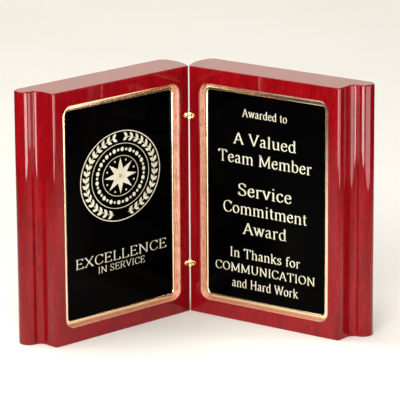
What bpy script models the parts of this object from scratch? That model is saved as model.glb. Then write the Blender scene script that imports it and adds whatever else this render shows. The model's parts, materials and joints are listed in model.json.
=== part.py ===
"""Hinged book award: two lacquered wood panels shaped like the halves of a thick book.

Each panel stands on its foot, with a gold frame and an engraving plate let into its inner face.
Two brass drill-in hinges join the panels at the front corners of their spines, and the right panel
swings about the hinges' common upright axis. The book is modelled part open, as it stands on a desk.

In a panel's own coordinates X runs from the hinge axis to the fore edge, Y from the inner face to
the back, and Z up from the foot. The left panel is the mirror image of the right one.
"""
import math

import bmesh
import bpy
from mathutils import Matrix

MM = 0.001

# Driving dimensions, in millimetres and degrees
PANEL_HEIGHT = 203.2
PANEL_THICKNESS = 34.8
BLOCK_WIDTH = 145.1          # inner face, from the spine corner to the recessed fore edge
COVER_EDGE_RADIUS = 8.0      # half-round edge of the cover behind the block
COVE_RADIUS = 4.9            # hollow moulding between the block and the cover
FORE_CORNER_RADIUS = 2.5
SPINE_BULGE = 6.3            # how far the rounded spine stands out past the spine corner
SPINE_CROWN_DEPTH = 20.0     # depth behind the inner face where the spine stands out most
SPINE_CORNER_RADIUS = 1.0
SPINE_BACK_RADIUS = 6.0
RIM_RADIUS = 0.9             # rounding of the top and bottom edges
REST_OPENING = 98.7          # angle between the inner faces as the book stands
AXIS_OFFSET = 0.3            # hinge axis in front of the inner face, and outside the spine corner

CLEARANCE = 0.3              # between pieces that touch
POCKET_SPINE_EDGE = 9.8      # spine-side wall of the recess, from the spine corner
POCKET_WIDTH = 124.4
POCKET_HEIGHT = 178.6
POCKET_DEPTH = 7.0
POCKET_CORNER_RADIUS = 8.3
POCKET_LIP_RADIUS = 0.7

FRAME_WIDTH = 4.9
FRAME_CREST_DEPTH = 3.2      # crest of the frame below the panel's inner face
FRAME_EDGE_DEPTH = 4.65      # edges of the frame's crown below the inner face
FRAME_SQUARENESS = 0.6       # 1 gives the crown an oval section, less a flatter one
FRAME_LIP = 1.5              # how far the frame covers the plate's margin
PLATE_THICKNESS = 0.8
TAPE_THICKNESS = 0.4
TAPE_INSET = 3.0             # tape edge inside the plate edge

HINGE_INSET = 40.4           # hinge centres from the panel's top and bottom
KNUCKLE_RADIUS = 2.3
KNUCKLE_HEIGHT = 7.2
KNUCKLE_ROUNDING = 1.2
KNUCKLE_MID_ROUNDING = 0.5   # where the two halves meet
PIN_RADIUS = 0.8
PIN_CLEARANCE = 0.15
ARM_WIDTH = 2.2
COLLAR_RADIUS = 3.2
COLLAR_FACE_RADIUS = 2.2     # its cone lies flush with the wood either side of the corner
COLLAR_START = 2.7           # along the shank, from the hinge axis
COLLAR_END = 5.4
SHANK_RADIUS = 1.7
SHANK_END = 10.4
BARB_COUNT = 3
BARB_HEIGHT = 0.2

TAPE_TOP = POCKET_DEPTH - CLEARANCE - TAPE_THICKNESS
PLATE_TOP = TAPE_TOP - CLEARANCE - PLATE_THICKNESS
PLATE_INSET = CLEARANCE + FRAME_WIDTH - FRAME_LIP

RED_LACQUER = (0.30, 0.008, 0.012)
GOLD = (0.83, 0.58, 0.27)
BLACK_PLATE = (0.006, 0.006, 0.007)
TAPE_WHITE = (0.78, 0.77, 0.72)
BRASS = (0.80, 0.55, 0.22)


def clear_scene():
    for old in list(bpy.data.objects):
        bpy.data.objects.remove(old, do_unlink=True)


def new_collection(name):
    collection = bpy.data.collections.new(name)
    bpy.context.scene.collection.children.link(collection)
    return collection


def make_material(name, colour, roughness, metallic=0.0, coat=0.0):
    material = bpy.data.materials.new(name)
    material.use_nodes = True
    shader = material.node_tree.nodes["Principled BSDF"]
    shader.inputs["Base Color"].default_value = (*colour, 1.0)
    shader.inputs["Roughness"].default_value = roughness
    shader.inputs["Metallic"].default_value = metallic
    shader.inputs["Coat Weight"].default_value = coat
    return material


def arc(centre, radius, start, end, steps):
    """Points along a circular arc, with its angles in degrees and both ends included."""
    points = []
    for i in range(steps + 1):
        angle = math.radians(start + (end - start) * i / steps)
        points.append((centre[0] + radius * math.cos(angle), centre[1] + radius * math.sin(angle)))
    return points


def panel_outline(inset=0.0):
    """The panel's plan outline, clockwise from the inner face, measured from the hinge axis.

    An inset draws it in evenly all round, as the rounded rims do.
    """
    back = PANEL_THICKNESS
    crown = SPINE_CROWN_DEPTH
    spine_radius = (crown ** 2 + SPINE_BULGE ** 2) / (2 * SPINE_BULGE)
    spine_centre = (spine_radius - SPINE_BULGE, crown)
    corner_reach = spine_radius - SPINE_CORNER_RADIUS
    corner_drop = crown - SPINE_CORNER_RADIUS
    corner_x = spine_centre[0] - math.sqrt(corner_reach ** 2 - corner_drop ** 2)
    back_reach = spine_radius - SPINE_BACK_RADIUS
    back_rise = back - SPINE_BACK_RADIUS - crown
    back_x = spine_centre[0] - math.sqrt(back_reach ** 2 - back_rise ** 2)
    corner_angle = 180 + math.degrees(math.asin(corner_drop / corner_reach))
    back_angle = 180 - math.degrees(math.asin(back_rise / back_reach))
    cove_x = BLOCK_WIDTH + COVE_RADIUS
    cove_y = back - 2 * COVER_EDGE_RADIUS - COVE_RADIUS
    fore_x = BLOCK_WIDTH - FORE_CORNER_RADIUS

    outline = arc((corner_x, SPINE_CORNER_RADIUS), SPINE_CORNER_RADIUS - inset, 270, corner_angle, 4)
    outline += arc(spine_centre, spine_radius - inset, corner_angle, back_angle, 9)[1:]
    outline += arc((back_x, back - SPINE_BACK_RADIUS), SPINE_BACK_RADIUS - inset, back_angle, 90, 7)[1:]
    outline += arc((cove_x, back - COVER_EDGE_RADIUS), COVER_EDGE_RADIUS - inset, 90, -90, 14)
    outline += arc((cove_x, cove_y), COVE_RADIUS + inset, 90, 180, 7)[1:]
    outline += arc((fore_x, FORE_CORNER_RADIUS), FORE_CORNER_RADIUS - inset, 0, -90, 6)
    return [(x + AXIS_OFFSET, y + AXIS_OFFSET) for x, y in outline]


def rounded_rectangle(width, height, radius, steps=6):
    """Outline of a rounded rectangle centred on the origin, counter-clockwise."""
    points = []
    for turn, (sx, sz) in enumerate(((1, 1), (-1, 1), (-1, -1), (1, -1))):
        centre = (sx * (width / 2 - radius), sz * (height / 2 - radius))
        points += arc(centre, radius, 90 * turn, 90 * turn + 90, steps)
    return points


def link_mesh(name, mesh, collection, material):
    obj = bpy.data.objects.new(name, mesh)
    collection.objects.link(obj)
    if material is not None:
        mesh.materials.append(material)
    return obj


def shade(mesh, angle=30):
    mesh.shade_smooth()
    mesh.set_sharp_from_angle(angle=math.radians(angle))


def face_outward(bm):
    bmesh.ops.recalc_face_normals(bm, faces=bm.faces)
    if bm.calc_volume(signed=True) < 0:
        bmesh.ops.reverse_faces(bm, faces=bm.faces)


def mesh_from_bmesh(name, bm):
    face_outward(bm)
    mesh = bpy.data.meshes.new(name)
    bm.to_mesh(mesh)
    bm.free()
    return mesh


def loft_rings(name, rings, capped):
    """Skin over rings of equal point count: capped into a solid, or closed back on itself."""
    bm = bmesh.new()
    loops = [[bm.verts.new([c * MM for c in point]) for point in ring] for ring in rings]
    spans = list(zip(loops, loops[1:]))
    if not capped:
        spans.append((loops[-1], loops[0]))
    for lower, upper in spans:
        for i in range(len(lower)):
            j = (i + 1) % len(lower)
            bm.faces.new((lower[i], lower[j], upper[j], upper[i]))
    if capped:
        bm.faces.new(loops[0])
        bm.faces.new(loops[-1])
    return mesh_from_bmesh(name, bm)


def pocket_rings(side, sections):
    """Rings around the recess: each section is an inset from its wall and a depth from the face."""
    centre_x = POCKET_SPINE_EDGE + POCKET_WIDTH / 2 + AXIS_OFFSET
    rings = []
    for inset, depth in sections:
        outline = rounded_rectangle(
            POCKET_WIDTH - 2 * inset, POCKET_HEIGHT - 2 * inset, POCKET_CORNER_RADIUS - inset)
        rings.append([
            (side * (centre_x + x), depth + AXIS_OFFSET, PANEL_HEIGHT / 2 + z) for x, z in outline])
    return rings


def cutter(name, mesh, cutters):
    obj = link_mesh(name, mesh, cutters, None)
    obj.hide_render = True
    obj.display_type = "WIRE"
    return obj


def boolean(obj, tool, operation="DIFFERENCE"):
    modifier = obj.modifiers.new(tool.name, "BOOLEAN")
    modifier.operation = operation
    modifier.solver = "EXACT"
    modifier.object = tool


def turned_mesh(name, profile, steps):
    """A solid turned about Z from a profile of (radius, height) points, from bottom to top."""
    bm = bmesh.new()
    verts = [bm.verts.new((r * MM, 0, z * MM)) for r, z in profile]
    edges = [bm.edges.new(pair) for pair in zip(verts, verts[1:])]
    bmesh.ops.spin(bm, geom=verts + edges, axis=(0, 0, 1), cent=(0, 0, 0),
                   steps=steps, angle=2 * math.pi)
    bmesh.ops.remove_doubles(bm, verts=bm.verts, dist=1e-7)
    return mesh_from_bmesh(name, bm)


def lay_along_shank(mesh, side):
    """Turn a solid from Z onto the shank's line, which halves the panel's spine corner."""
    onto_x = Matrix.Rotation(math.radians(90), 4, "Y")
    into_corner = Matrix.Rotation(math.radians(45 if side > 0 else 135), 4, "Z")
    mesh.transform(into_corner @ onto_x)


def lift(mesh, height):
    mesh.transform(Matrix.Translation((0, 0, height * MM)))


def turn_upside_down(mesh):
    mesh.transform(Matrix.Scale(-1, 4, (0, 0, 1)))
    mesh.flip_normals()


def hinge_heights():
    return {"lower": HINGE_INSET, "upper": PANEL_HEIGHT - HINGE_INSET}


def hinge_recess(side, height, cutters, word):
    """What the hinge needs cut out of the wood: a stepped bore and a scoop round the knuckle."""
    wide = COLLAR_RADIUS + CLEARANCE
    narrow = SHANK_RADIUS + BARB_HEIGHT + CLEARANCE
    profile = [(0, 0), (wide, 0), (wide, COLLAR_END + CLEARANCE), (narrow, COLLAR_END + CLEARANCE),
               (narrow, SHANK_END + CLEARANCE), (0, SHANK_END + CLEARANCE)]
    bore = turned_mesh(f"{word}_bore", profile, 28)
    lay_along_shank(bore, side)
    scoop_radius = KNUCKLE_RADIUS + CLEARANCE + 0.1
    half = KNUCKLE_HEIGHT / 2 + 2 * CLEARANCE
    scoop = turned_mesh(f"{word}_scoop", [(0, -half), (scoop_radius, -half),
                                          (scoop_radius, half), (0, half)], 28)
    for mesh in (bore, scoop):
        lift(mesh, height)
    return [cutter(f"{word}_bore_cut", bore, cutters), cutter(f"{word}_scoop_cut", scoop, cutters)]


def panel_rings(side):
    """The panel's outline at each level from the foot to the top, drawn in where the rims round off."""
    rounding = [(RIM_RADIUS * (1 - math.sin(math.radians(a))), RIM_RADIUS * (1 - math.cos(math.radians(a))))
                for a in (0, 22.5, 45, 67.5, 90)]
    levels = rounding + [(inset, PANEL_HEIGHT - rise) for inset, rise in reversed(rounding)]
    return [[(side * x, y, z) for x, y in panel_outline(inset)] for inset, z in levels]


def panel(name, side, pivot, parts, cutters, material):
    obj = link_mesh(name, loft_rings(name, panel_rings(side), True), parts, material)
    obj.parent = pivot

    lip = [(POCKET_LIP_RADIUS * (math.cos(math.radians(a)) - 1),
            POCKET_LIP_RADIUS * (1 - math.sin(math.radians(a)))) for a in (90, 67.5, 45, 22.5, 0)]
    sections = [(lip[0][0], -2.0)] + lip + [(0.0, POCKET_DEPTH)]
    tools = [cutter(f"{name}_pocket_cut",
                    loft_rings(f"{name}_pocket", pocket_rings(side, sections), True), cutters)]
    for word, height in hinge_heights().items():
        tools += hinge_recess(side, height, cutters, f"{name}_{word}_hinge")
    for tool in tools:
        tool.parent = pivot
        boolean(obj, tool)
    shade(obj.data)
    return obj


def frame(name, side, pivot, parts, material):
    """The gold frame: a crowned moulding with a rebate that holds the plate's margin down."""
    outer = CLEARANCE
    half = FRAME_WIDTH / 2
    crown = []
    for angle in range(0, 181, 15):
        reach = math.cos(math.radians(angle))
        rise = abs(math.sin(math.radians(angle))) ** FRAME_SQUARENESS
        crown.append((outer + half - half * math.copysign(abs(reach) ** FRAME_SQUARENESS, reach),
                      FRAME_EDGE_DEPTH - (FRAME_EDGE_DEPTH - FRAME_CREST_DEPTH) * rise))
    lip_foot = PLATE_TOP - CLEARANCE
    rebate = PLATE_INSET - CLEARANCE
    foot = POCKET_DEPTH - CLEARANCE
    section = crown + [(outer + FRAME_WIDTH, lip_foot), (rebate, lip_foot), (rebate, foot), (outer, foot)]
    mesh = loft_rings(name, pocket_rings(side, section), False)
    obj = link_mesh(name, mesh, parts, material)
    obj.parent = pivot
    shade(mesh)
    return obj


def sheet(name, side, pivot, parts, material, inset, top, thickness):
    """A flat sheet that follows the recess's outline."""
    mesh = loft_rings(name, pocket_rings(side, [(inset, top), (inset, top + thickness)]), True)
    obj = link_mesh(name, mesh, parts, material)
    obj.parent = pivot
    shade(mesh)
    return obj


def hinge_half(name, side, height, up, pivot, parts, cutters, material):
    """One half of a hinge: a domed knuckle, its arm, a coned collar and a barbed shank."""
    low = CLEARANCE / 2
    high = KNUCKLE_HEIGHT / 2
    dome = arc((KNUCKLE_RADIUS - KNUCKLE_ROUNDING, high - KNUCKLE_ROUNDING), KNUCKLE_ROUNDING, 0, 90, 4)
    edge = arc((KNUCKLE_RADIUS - KNUCKLE_MID_ROUNDING, low + KNUCKLE_MID_ROUNDING),
               KNUCKLE_MID_ROUNDING, -90, 0, 3)
    bore = PIN_RADIUS + PIN_CLEARANCE
    knuckle = turned_mesh(name, [(bore, low)] + edge + dome + [(bore, high), (bore, low)], 24)

    arm = bmesh.new()
    bmesh.ops.create_cube(arm, size=1)
    reach_low = KNUCKLE_RADIUS - 0.8
    reach_high = COLLAR_START + 0.4
    top = COLLAR_FACE_RADIUS - 0.3
    for vert in arm.verts:
        vert.co.x *= (top - low) * MM
        vert.co.y *= ARM_WIDTH * MM
        vert.co.z *= (reach_high - reach_low) * MM
        vert.co.x -= (top + low) / 2 * MM
        vert.co.z += (reach_low + reach_high) / 2 * MM
    arm_mesh = mesh_from_bmesh(f"{name}_arm", arm)
    lay_along_shank(arm_mesh, side)

    cone_end = COLLAR_START + COLLAR_RADIUS - COLLAR_FACE_RADIUS
    profile = [(0, COLLAR_START), (COLLAR_FACE_RADIUS, COLLAR_START),
               (COLLAR_RADIUS, cone_end), (COLLAR_RADIUS, COLLAR_END), (SHANK_RADIUS, COLLAR_END)]
    pitch = (SHANK_END - 0.8 - COLLAR_END) / BARB_COUNT
    for i in range(BARB_COUNT):
        foot = COLLAR_END + pitch * (i + 0.35)
        profile += [(SHANK_RADIUS + BARB_HEIGHT, foot), (SHANK_RADIUS, foot + pitch * 0.6)]
    profile += [(SHANK_RADIUS - 0.6, SHANK_END), (0, SHANK_END)]
    shank_mesh = turned_mesh(f"{name}_shank", profile, 24)
    lay_along_shank(shank_mesh, side)

    for mesh in (knuckle, arm_mesh):
        if not up:
            turn_upside_down(mesh)
    for mesh in (knuckle, arm_mesh, shank_mesh):
        lift(mesh, height)
    obj = link_mesh(name, knuckle, parts, material)
    obj.parent = pivot
    for extra in (cutter(f"{name}_arm_add", arm_mesh, cutters),
                  cutter(f"{name}_shank_add", shank_mesh, cutters)):
        extra.parent = pivot
        boolean(obj, extra, "UNION")
    shade(knuckle)
    return obj


def hinge_pin(name, height, pivot, parts, material):
    half = KNUCKLE_HEIGHT / 2
    dome = 0.35
    profile = [(0, -half), (PIN_RADIUS - dome, -half), (PIN_RADIUS, dome - half),
               (PIN_RADIUS, half - dome), (PIN_RADIUS - dome, half), (0, half)]
    mesh = turned_mesh(name, profile, 20)
    lift(mesh, height)
    obj = link_mesh(name, mesh, parts, material)
    obj.parent = pivot
    shade(mesh)
    return obj


def axis_depth(half_opening):
    """How far behind the middle of the object's footprint the hinge axis stands."""
    depths = [-x * math.cos(half_opening) + y * math.sin(half_opening) for x, y in panel_outline()]
    return -(min(depths) + max(depths)) / 2


def build():
    clear_scene()
    parts = new_collection("hinged_book_award")
    cutters = new_collection("cutters")
    lacquer = {side: make_material(f"{side} lacquer", RED_LACQUER, 0.12, coat=1.0) for side in SIDES}
    half_opening = math.radians(REST_OPENING / 2)
    axis_y = axis_depth(half_opening)

    for word, side in SIDES.items():
        pivot = bpy.data.objects.new(f"{word}_pivot", None)
        parts.objects.link(pivot)
        pivot.location = (0, axis_y * MM, 0)
        pivot.rotation_euler = (0, 0, side * (half_opening - math.pi / 2))
        panel(f"{word}_panel", side, pivot, parts, cutters, lacquer[word])
        frame(f"{word}_frame", side, pivot, parts, make_material(f"{word} gold frame", GOLD, 0.22, 1.0))
        sheet(f"{word}_plate", side, pivot, parts, make_material(f"{word} black plate", BLACK_PLATE, 0.1),
              PLATE_INSET, PLATE_TOP, PLATE_THICKNESS)
        sheet(f"{word}_plate_tape", side, pivot, parts, make_material(f"{word} tape", TAPE_WHITE, 0.6),
              PLATE_INSET + TAPE_INSET, TAPE_TOP, TAPE_THICKNESS)
        for place, height in hinge_heights().items():
            brass = make_material(f"{place} {word} hinge brass", BRASS, 0.25, 1.0)
            hinge_half(f"{place}_hinge_{word}_half", side, height, side < 0, pivot, parts, cutters, brass)
            if word == "left":
                hinge_pin(f"{place}_hinge_pin", height, pivot, parts,
                          make_material(f"{place} pin brass", BRASS, 0.2, 1.0))


SIDES = {"left": -1, "right": 1}

build()
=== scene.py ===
"""Looks for the hinged book award: two red lacquered panels with gold frames and engraved plates.

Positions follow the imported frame. In a panel's own coordinates X runs from the hinge axis to the
fore edge, Y from that axis towards the back and Z up from the foot, in millimetres.
"""

import json
import math

import bmesh
import bpy
from mathutils import Matrix, Vector


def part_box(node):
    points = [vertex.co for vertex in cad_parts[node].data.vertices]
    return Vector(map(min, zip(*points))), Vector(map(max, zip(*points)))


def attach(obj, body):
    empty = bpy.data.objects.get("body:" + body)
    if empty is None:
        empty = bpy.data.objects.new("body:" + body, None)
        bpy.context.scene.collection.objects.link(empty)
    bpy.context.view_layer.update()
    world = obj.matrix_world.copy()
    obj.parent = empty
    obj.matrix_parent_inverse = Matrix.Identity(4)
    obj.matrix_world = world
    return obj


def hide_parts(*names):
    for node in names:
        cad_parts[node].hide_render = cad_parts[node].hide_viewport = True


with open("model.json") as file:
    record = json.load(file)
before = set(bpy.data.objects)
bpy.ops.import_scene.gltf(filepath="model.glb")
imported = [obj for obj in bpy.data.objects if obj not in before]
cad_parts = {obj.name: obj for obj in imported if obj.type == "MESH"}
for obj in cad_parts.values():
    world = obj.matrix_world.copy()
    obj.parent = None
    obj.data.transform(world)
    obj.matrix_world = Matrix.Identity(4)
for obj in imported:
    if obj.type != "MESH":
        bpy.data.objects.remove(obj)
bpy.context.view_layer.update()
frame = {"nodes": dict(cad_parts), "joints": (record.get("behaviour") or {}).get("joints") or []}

MM = 0.001

PANEL_THICKNESS = 34.8
BLOCK_WIDTH = 145.1           # spine corner to fore edge
COVER_EDGE_RADIUS = 8.0       # half-round edge of the cover, beyond the block
COVE_RADIUS = 4.9             # hollow between the block and the cover edge
FORE_CORNER_RADIUS = 2.5
SPINE_BULGE = 6.3             # how far the spine rounds out
SPINE_CROWN_DEPTH = 20.0      # how far behind the inner face it stands out most
SPINE_CORNER_RADIUS = 1.0
SPINE_BACK_RADIUS = 6.0
RIM_RADIUS = 0.9              # rounding of the top and bottom edges
AXIS_OFFSET = 0.3             # hinge axis in front of the inner face, and outside the spine corner
CLEARANCE = 0.3               # between parts that don't touch

POCKET_SPINE_EDGE = 9.8       # spine corner to the recess
POCKET_WIDTH = 124.4
POCKET_HEIGHT = 178.6
POCKET_DEPTH = 7.0
POCKET_CORNER_RADIUS = 8.3
POCKET_LIP_RADIUS = 0.7
CUTTER_RISE = 2.0             # how far the recess cutter stands out of the face
MARK_MARGIN = 0.05            # slack when picking out the recess faces

FRAME_WIDTH = 4.9
FRAME_CREST_DEPTH = 3.2       # top of an unsloped crown, below the panel's inner face
FRAME_EDGE_DEPTH = 4.65
FRAME_SQUARENESS = 0.7        # 1 is a round crown, and less is squarer
FRAME_SLOPE = 0.8             # how much lower the outer side of the crown is
PLATE_THICKNESS = 0.8
PLATE_TOP = 5.2
PLATE_INSET = 3.7
PLATE_EDGE_ROUNDING = 0.12

HINGE_INSET = 40.4            # middle of each hinge, from the top or the foot
KNUCKLE_RADIUS = 2.3
KNUCKLE_HEIGHT = 7.2          # both knuckles together
KNUCKLE_ROUNDING = 1.2
KNUCKLE_MID_ROUNDING = 0.5    # where one knuckle meets the other
SCOOP_ROOM = 0.1              # extra room round the knuckles in the wood
PIN_RADIUS = 0.8
PIN_CLEARANCE = 0.15
PIN_ROUNDING = 0.35
ARM_WIDTH = 2.2
ARM_EDGE = 0.3                # the arm stops this far inside the collar's face
ARM_INTO_KNUCKLE = 0.8
ARM_INTO_COLLAR = 0.4
COLLAR_RADIUS = 3.2
COLLAR_FACE_RADIUS = 2.2
COLLAR_START = 2.7            # along the shank, from the hinge axis
COLLAR_END = 5.4
SHANK_RADIUS = 1.7
SHANK_END = 10.4
SHANK_TIP = 0.8               # tapered length beyond the barbs
SHANK_TIP_NARROWING = 0.6
BARB_COUNT = 3
BARB_HEIGHT = 0.2
BARB_CREST = 0.35             # where each barb is widest, and how long it then tapers,
BARB_TAPER = 0.6              # as shares of the distance from barb to barb
KNUCKLE_STEPS = 48            # sides of each turned shape
SHANK_STEPS = 40
PIN_STEPS = 36

ENGRAVING_RISE = 0.05         # the filled engraving stands this far proud of the plate
ENGRAVING_ROOT = 0.10         # and reaches this far into it
ENGRAVING_CENTRE = 70.1       # its middle, from the spine corner

CAMERA_PLACE = (-0.1534, -2.4909, 0.7439)
CAMERA_YAW = 3.667            # degrees, towards +X
CAMERA_PITCH = 14.44          # degrees below level
CAMERA_ROLL = -0.36
CAMERA_LENS = 292.1
CAMERA_FILM = 36.0

FLOOR_REACH = 30.0            # metres
SURROUND_LIFT = 0.0004        # metres above the floor
SURROUND_RADII = (0.2, 6.0)
SURROUND_FADE = (0.25, 0.68)  # clear up to the first distance and solid from the second
LIGHT_TARGET = Vector((0.0, 0.0, 0.1))

SIDES = {"left": -1, "right": 1}

PANEL_HEIGHT = (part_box("left_panel")[1].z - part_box("left_panel")[0].z) / MM
book_hinge = frame["joints"][0]
HINGE_AXIS = Vector(book_hinge["pos_m"])
HALF_OPENING = math.radians(-book_hinge["range_deg"][0] / 2)


# ---------------------------------------------------------------- shapes

def arc(centre, radius, start, end, steps):
    """Points along a circular arc, with its angles in degrees and both ends included."""
    points = []
    for i in range(steps + 1):
        angle = math.radians(start + (end - start) * i / steps)
        points.append((centre[0] + radius * math.cos(angle), centre[1] + radius * math.sin(angle)))
    return points


def panel_outline(inset=0.0):
    """The panel's plan outline, clockwise from the inner face, measured from the hinge axis."""
    back = PANEL_THICKNESS
    crown = SPINE_CROWN_DEPTH
    spine_radius = (crown ** 2 + SPINE_BULGE ** 2) / (2 * SPINE_BULGE)
    spine_centre = (spine_radius - SPINE_BULGE, crown)
    corner_reach = spine_radius - SPINE_CORNER_RADIUS
    corner_drop = crown - SPINE_CORNER_RADIUS
    corner_x = spine_centre[0] - math.sqrt(corner_reach ** 2 - corner_drop ** 2)
    back_reach = spine_radius - SPINE_BACK_RADIUS
    back_rise = back - SPINE_BACK_RADIUS - crown
    back_x = spine_centre[0] - math.sqrt(back_reach ** 2 - back_rise ** 2)
    corner_angle = 180 + math.degrees(math.asin(corner_drop / corner_reach))
    back_angle = 180 - math.degrees(math.asin(back_rise / back_reach))
    cove_x = BLOCK_WIDTH + COVE_RADIUS
    cove_y = back - 2 * COVER_EDGE_RADIUS - COVE_RADIUS
    fore_x = BLOCK_WIDTH - FORE_CORNER_RADIUS

    outline = arc((corner_x, SPINE_CORNER_RADIUS), SPINE_CORNER_RADIUS - inset, 270, corner_angle, 8)
    outline += arc(spine_centre, spine_radius - inset, corner_angle, back_angle, 22)[1:]
    outline += arc((back_x, back - SPINE_BACK_RADIUS), SPINE_BACK_RADIUS - inset, back_angle, 90, 14)[1:]
    outline += arc((cove_x, back - COVER_EDGE_RADIUS), COVER_EDGE_RADIUS - inset, 90, -90, 40)
    outline += arc((cove_x, cove_y), COVE_RADIUS + inset, 90, 180, 18)[1:]
    outline += arc((fore_x, FORE_CORNER_RADIUS), FORE_CORNER_RADIUS - inset, 0, -90, 12)
    return [(x + AXIS_OFFSET, y + AXIS_OFFSET) for x, y in outline]


def ellipse(centre, reach, step):
    """Points round an ellipse with the half-width and half-height in reach, step degrees apart."""
    points = []
    for degrees in range(0, 360, step):
        angle = math.radians(degrees)
        points.append((centre[0] + reach[0] * math.cos(angle), centre[1] + reach[1] * math.sin(angle)))
    return points


def quarter_rounding(radius, angles):
    """Steps round a rounded edge, as (inset, depth) pairs, from the face at 0 to the side at 90."""
    steps = []
    for degrees in angles:
        angle = math.radians(degrees)
        steps.append((radius * (1 - math.sin(angle)), radius * (1 - math.cos(angle))))
    return steps


def rounded_rectangle(width, height, radius, steps=14):
    """An outline about its own middle, starting at its right-hand side."""
    points = []
    for turn, (sx, sz) in enumerate(((1, 1), (-1, 1), (-1, -1), (1, -1))):
        centre = (sx * (width / 2 - radius), sz * (height / 2 - radius))
        points += arc(centre, radius, 90 * turn, 90 * turn + 90, steps)
    return points


def pocket_rings(side, sections):
    """Rings around the recess: each section is an inset from its wall and a depth from the face."""
    centre_x = POCKET_SPINE_EDGE + POCKET_WIDTH / 2 + AXIS_OFFSET
    rings = []
    for inset, depth in sections:
        outline = rounded_rectangle(
            POCKET_WIDTH - 2 * inset, POCKET_HEIGHT - 2 * inset, POCKET_CORNER_RADIUS - inset)
        rings.append([
            (side * (centre_x + x), depth + AXIS_OFFSET, PANEL_HEIGHT / 2 + z) for x, z in outline])
    return rings


def mesh_from_bmesh(name, bm):
    """The finished mesh, with its faces turned outward."""
    bmesh.ops.recalc_face_normals(bm, faces=bm.faces)
    if bm.calc_volume(signed=True) < 0:
        bmesh.ops.reverse_faces(bm, faces=bm.faces)
    mesh = bpy.data.meshes.new(name)
    bm.to_mesh(mesh)
    bm.free()
    return mesh


def loft_rings(name, rings, capped):
    """A solid through rings of equal point count: capped at its ends, or closed into a loop."""
    bm = bmesh.new()
    loops = [[bm.verts.new([c * MM for c in point]) for point in ring] for ring in rings]
    spans = list(zip(loops, loops[1:]))
    if not capped:
        spans.append((loops[-1], loops[0]))
    for lower, upper in spans:
        for i in range(len(lower)):
            j = (i + 1) % len(lower)
            bm.faces.new((lower[i], lower[j], upper[j], upper[i]))
    if capped:
        bm.faces.new(loops[0])
        bm.faces.new(loops[-1])
    return mesh_from_bmesh(name, bm)


def turned_mesh(name, profile, steps):
    """A solid turned about Z from a profile of (radius, height) points."""
    bm = bmesh.new()
    verts = [bm.verts.new((r * MM, 0, z * MM)) for r, z in profile]
    edges = [bm.edges.new(pair) for pair in zip(verts, verts[1:])]
    bmesh.ops.spin(bm, geom=verts + edges, axis=(0, 0, 1), cent=(0, 0, 0),
                   steps=steps, angle=2 * math.pi)
    bmesh.ops.remove_doubles(bm, verts=bm.verts, dist=1e-7)
    return mesh_from_bmesh(name, bm)


def new_object(name, mesh):
    obj = bpy.data.objects.new(name, mesh)
    bpy.context.scene.collection.objects.link(obj)
    return obj


def combine(name, mesh, tools):
    """The mesh after each (operation, mesh) in turn has been cut from it or joined to it."""
    obj = new_object(name + "_blank", mesh)
    helpers = []
    for operation, tool in tools:
        helper = new_object(name + "_tool", tool)
        modifier = obj.modifiers.new("cut", "BOOLEAN")
        modifier.operation = operation
        modifier.solver = "EXACT"
        modifier.object = helper
        helpers.append(helper)
    evaluated = obj.evaluated_get(bpy.context.evaluated_depsgraph_get())
    result = bpy.data.meshes.new_from_object(evaluated)
    result.name = name
    for used in [obj] + helpers:
        bpy.data.objects.remove(used, do_unlink=True)
    return result


def place(mesh, side):
    """Move a mesh from a panel's own coordinates to where the panel stands."""
    turn = Matrix.Rotation(side * (HALF_OPENING - math.pi / 2), 4, "Z")
    mesh.transform(Matrix.Translation(HINGE_AXIS) @ turn)


def finish_piece(name, mesh, word, materials, nodes=(), angle=30, weighted=True):
    """Put a finished mesh in the scene, riding on its leaf in place of the CAD nodes it stands for."""
    mesh.materials.clear()
    for material in materials:
        mesh.materials.append(material)
    mesh.shade_smooth()
    mesh.set_sharp_from_angle(angle=math.radians(angle))
    obj = new_object(name, mesh)
    if weighted:
        modifier = obj.modifiers.new("even shading", "WEIGHTED_NORMAL")
        modifier.keep_sharp = True
        modifier.weight = 100
    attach(obj, f"{word}_leaf")
    if nodes:
        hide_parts(*nodes)


# ---------------------------------------------------------------- materials

def material_tree(name):
    material = bpy.data.materials.new(name)
    material.use_nodes = True
    tree = material.node_tree
    return material, tree, tree.nodes["Principled BSDF"]


def node(tree, kind, inputs=None, **settings):
    made = tree.nodes.new(kind)
    for key, value in settings.items():
        setattr(made, key, value)
    for key, value in (inputs or {}).items():
        if isinstance(value, bpy.types.NodeSocket):
            tree.links.new(value, made.inputs[key])
        else:
            made.inputs[key].default_value = value
    return made


def noise(tree, stretch, scale, detail=4.0, roughness=0.55, distortion=0.0):
    """A noise pattern fixed to the piece, drawn out by stretch along each axis."""
    coordinates = node(tree, "ShaderNodeTexCoord")
    mapping = node(tree, "ShaderNodeMapping",
                   {"Vector": coordinates.outputs["Object"], "Scale": stretch})
    texture = node(tree, "ShaderNodeTexNoise", {
        "Vector": mapping.outputs["Vector"], "Scale": scale, "Detail": detail,
        "Roughness": roughness, "Distortion": distortion})
    return texture.outputs["Fac"]


def ramp(tree, value, stops):
    made = node(tree, "ShaderNodeValToRGB", {"Fac": value})
    band = made.color_ramp
    while len(band.elements) < len(stops):
        band.elements.new(0.5)
    for element, (position, colour) in zip(band.elements, stops):
        element.position = position
        element.color = (*colour, 1.0)
    return made.outputs["Color"]


def spread(tree, value, low, high, from_low=0.3, from_high=0.7):
    return node(tree, "ShaderNodeMapRange", {
        "Value": value, "From Min": from_low, "From Max": from_high,
        "To Min": low, "To Max": high}).outputs["Result"]


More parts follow.
